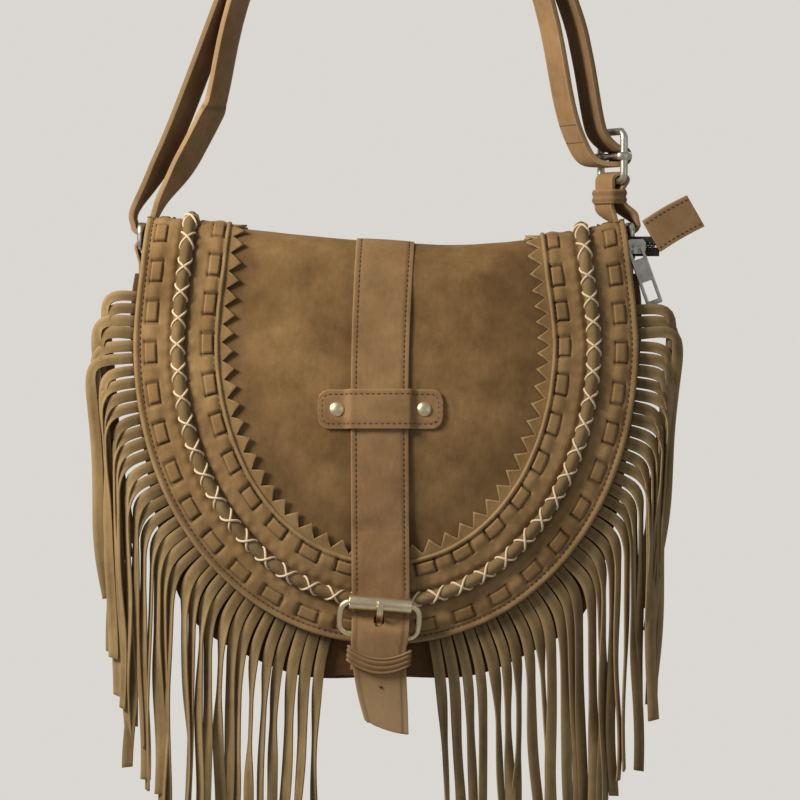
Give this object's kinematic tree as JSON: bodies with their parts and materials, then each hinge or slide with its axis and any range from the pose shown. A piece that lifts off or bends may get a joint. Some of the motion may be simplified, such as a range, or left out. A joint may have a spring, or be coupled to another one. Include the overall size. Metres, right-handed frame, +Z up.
{
  "type": "fringed suede shoulder bag",
  "caption": "Suede saddle bag with a fringed U-shaped flap, laced and corded border, buckled front strap, zipped top and a shoulder strap on D-rings.",
  "frame": {"origin": "the hanging point: the underside of the shoulder strap's arch, 400 mm above the flap's fold", "axes": "+Z up along the hanging bag, -Y to the front with the flap, +X to the bag's right seen from the front"},
  "size_m": [0.3653, 0.0935, 0.8115],
  "materials": {
    "suede": "matt mottled suede",
    "suede_dark": "matt suede",
    "strap_leather": "smooth nubuck",
    "lace_leather": "matt suede lace",
    "fringe_suede": "cut suede",
    "zip_tape": "woven tape",
    "pale_brass": "brushed antique",
    "nickel": "satin nickel"
  },
  "bodies": {
    "bag": {"back_panel": "suede", "front_panel": "suede_dark", "gusset": "suede", "zip_tape_upper": "zip_tape", "zip_tape_lower": "zip_tape", "zip_end_tab": "strap_leather", "flap": "suede", "flap_border": "suede", "zigzag_trim": "suede", "lace_outer": "lace_leather", "lace_inner": "lace_leather", "piping_cord": "lace_leather", "fringe_left": "fringe_suede", "fringe_right": "fringe_suede", "front_strap": "strap_leather", "cross_tab": "strap_leather", "rivet_left": "pale_brass", "rivet_right": "pale_brass", "buckle_chape": "strap_leather", "buckle_keeper": "strap_leather", "left_ring_tab": "strap_leather", "right_ring_tab": "strap_leather", "shoulder_strap": "strap_leather", "short_strap": "strap_leather", "short_strap_keeper": "strap_leather"},
    "zip_slider_body": {"zip_slider": "nickel"},
    "zip_puller_body": {"zip_puller": "nickel"},
    "buckle_frame_body": {"buckle_frame": "pale_brass"},
    "buckle_roller_body": {"buckle_roller": "pale_brass"},
    "buckle_tongue_body": {"buckle_tongue": "pale_brass"},
    "left_ring_body": {"left_ring": "nickel"},
    "right_ring_body": {"right_ring": "nickel"},
    "strap_buckle_body": {"strap_buckle": "nickel"}
  },
  "joints": [
    {"name": "zip_slide", "type": "slide", "parent": "bag", "child": "zip_slider_body", "axis": [1, 0, 0], "range_m": [-0.275, 0]},
    {"name": "puller_swing", "type": "hinge", "parent": "zip_slider_body", "child": "zip_puller_body", "pos_m": [0.151, -0.0097, -0.4084], "axis": [-0.9397, 0, -0.342], "range_deg": [0, 60]},
    {"name": "buckle_swing", "type": "hinge", "parent": "bag", "child": "buckle_frame_body", "pos_m": [-0.00453, -0.04781, -0.63845], "axis": [0.9969, 0, -0.0785], "range_deg": [0, 8]},
    {"name": "roller_spin", "type": "hinge", "parent": "buckle_frame_body", "child": "buckle_roller_body", "pos_m": [-0.003, -0.0522, -0.619], "axis": [0.9969, 0, -0.0785], "continuous": true},
    {"name": "tongue_lift", "type": "hinge", "parent": "buckle_frame_body", "child": "buckle_tongue_body", "pos_m": [-0.00453, -0.04781, -0.63845], "axis": [0.9969, 0, -0.0785], "range_deg": [0, 5]},
    {"name": "left_ring_swing", "type": "hinge", "parent": "bag", "child": "left_ring_body", "pos_m": [-0.1495, 0.0145, -0.4075], "axis": [0, 1, 0], "range_deg": [-4, 4]},
    {"name": "right_ring_swing", "type": "hinge", "parent": "bag", "child": "right_ring_body", "pos_m": [0.1495, 0.0145, -0.4075], "axis": [0, 1, 0], "range_deg": [-4, 4]},
    {"name": "strap_buckle_swing", "type": "hinge", "parent": "bag", "child": "strap_buckle_body", "pos_m": [0.139, 0.0145, -0.367], "axis": [-0.3907, 0.9205, 0], "range_deg": [-4, 4]}
  ]
}
